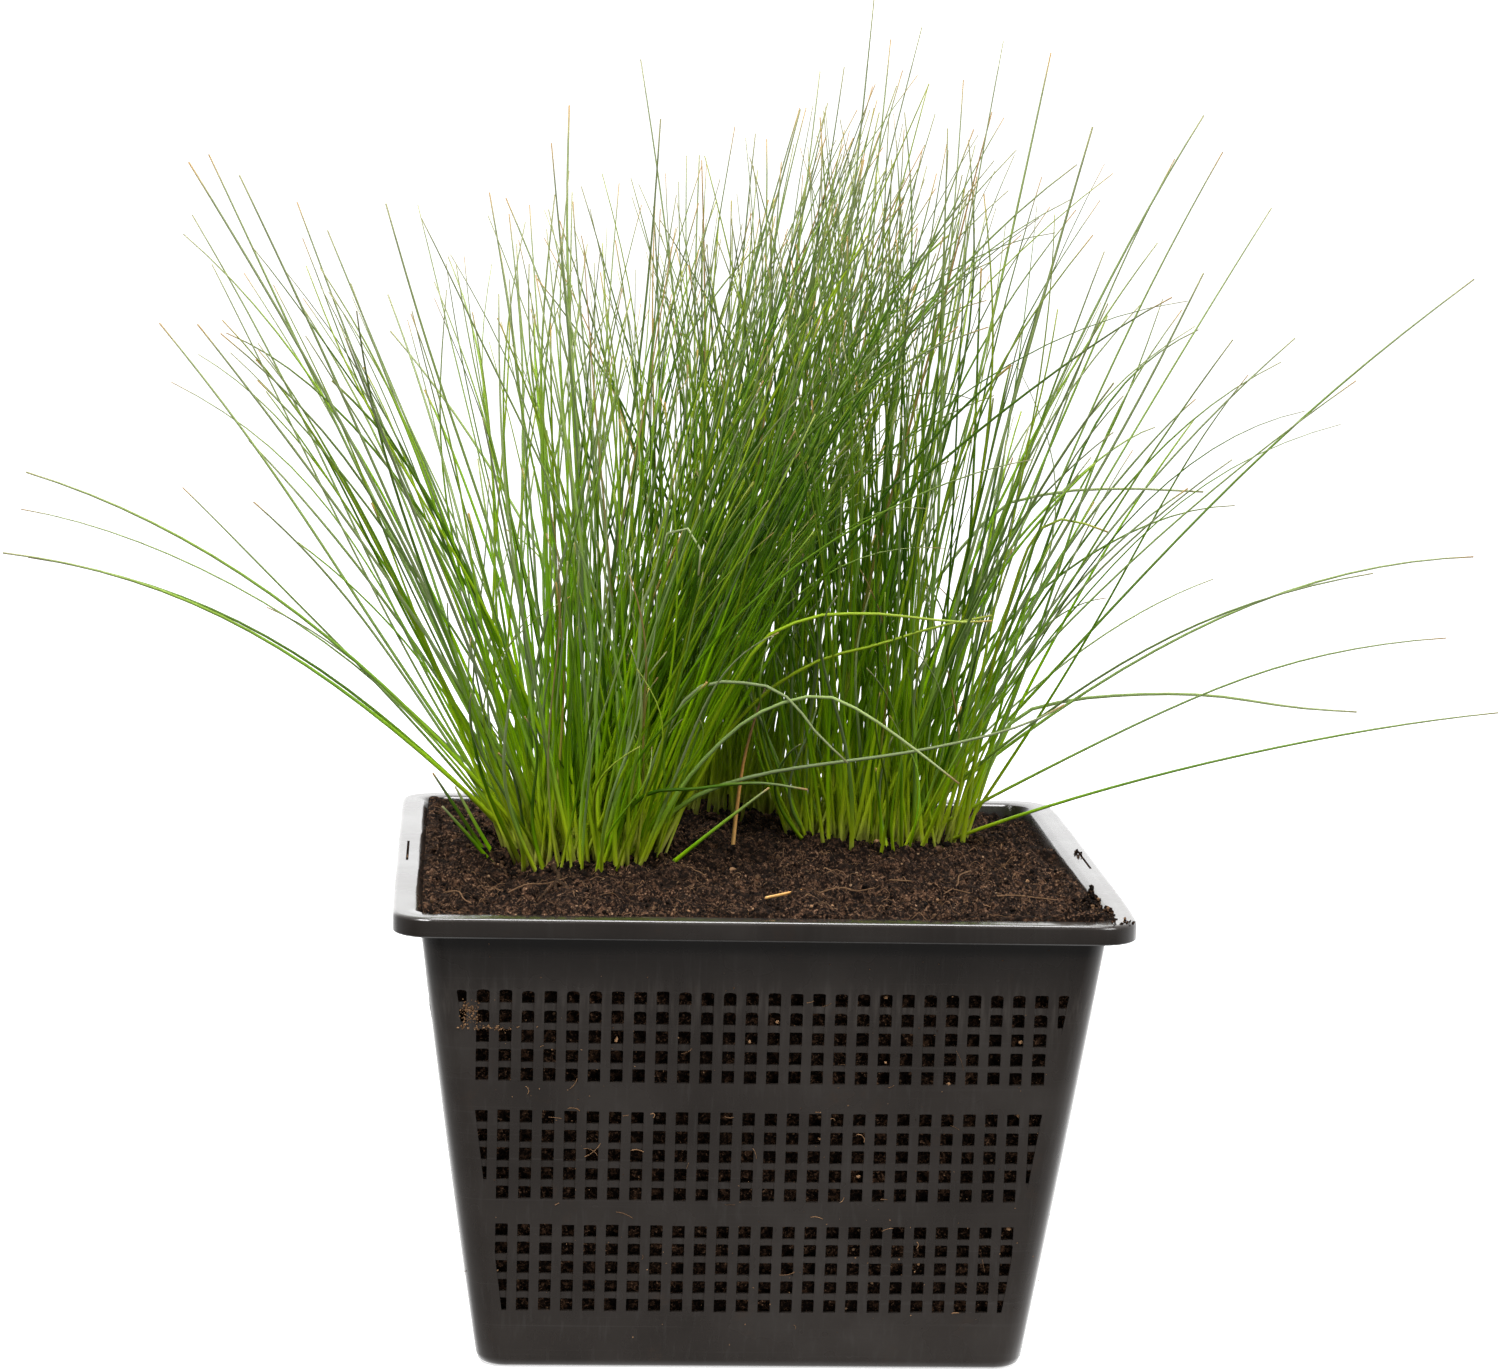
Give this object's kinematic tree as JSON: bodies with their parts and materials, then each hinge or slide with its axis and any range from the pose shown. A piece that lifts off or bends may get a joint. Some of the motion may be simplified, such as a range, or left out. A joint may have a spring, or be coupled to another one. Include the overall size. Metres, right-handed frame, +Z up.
{
  "type": "potted fiber optic grass",
  "caption": "Tufts of fine arching green grass growing in dark soil in a square tapered mesh plant basket with a flanged rim.",
  "frame": {"origin": "centre of the basket's underside, where it stands on the floor", "axes": "+Z up, -Y towards the basket's front wall, +X to the right"},
  "size_m": [0.605, 0.44, 0.53],
  "materials": {
    "basket_plastic": "satin charcoal moulded plastic, glossier on the flange",
    "peat": "crumbly moist dark brown peat with pale fibres",
    "grass_green": "satin fresh green stems, yellow-green at the foot",
    "dry_straw": "dry orange straw"
  },
  "bodies": {
    "root": {"basket": "basket_plastic", "soil": "peat", "grass_front_left": "grass_green", "grass_right": "grass_green", "grass_back": "grass_green", "dry_stalk": "dry_straw", "loose_straw": "dry_straw"}
  },
  "joints": []
}
